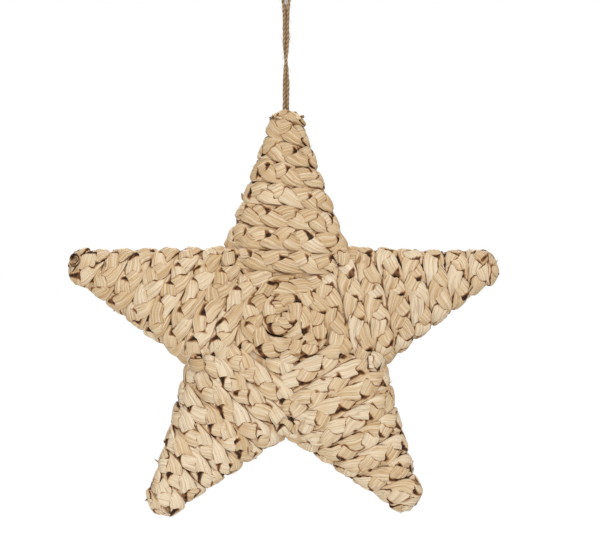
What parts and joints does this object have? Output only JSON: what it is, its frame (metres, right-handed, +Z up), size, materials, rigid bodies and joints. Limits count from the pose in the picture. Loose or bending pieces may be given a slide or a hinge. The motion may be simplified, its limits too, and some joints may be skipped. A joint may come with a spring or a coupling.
{
  "type": "straw star ornament",
  "caption": "Flat, plump star wound in rows with plaited corn husk, with a coiled plait in the middle, hung by a doubled jute twine loop.",
  "frame": {"origin": "inside top of the twine loop, where it hangs on a hook", "axes": "+Z up, star in the XZ plane with its front towards -Y and its top arm straight below the origin"},
  "size_m": [0.2992, 0.0408, 0.3825],
  "materials": {
    "husk": "dry, softly shiny plaited corn husk",
    "jute": "rough twisted jute twine"
  },
  "bodies": {
    "root": {"top_arm_plait": "husk", "left_arm_plait": "husk", "lower_left_arm_plait": "husk", "lower_right_arm_plait": "husk", "right_arm_plait": "husk", "centre_coil": "husk", "hanging_twine": "jute"}
  },
  "joints": []
}
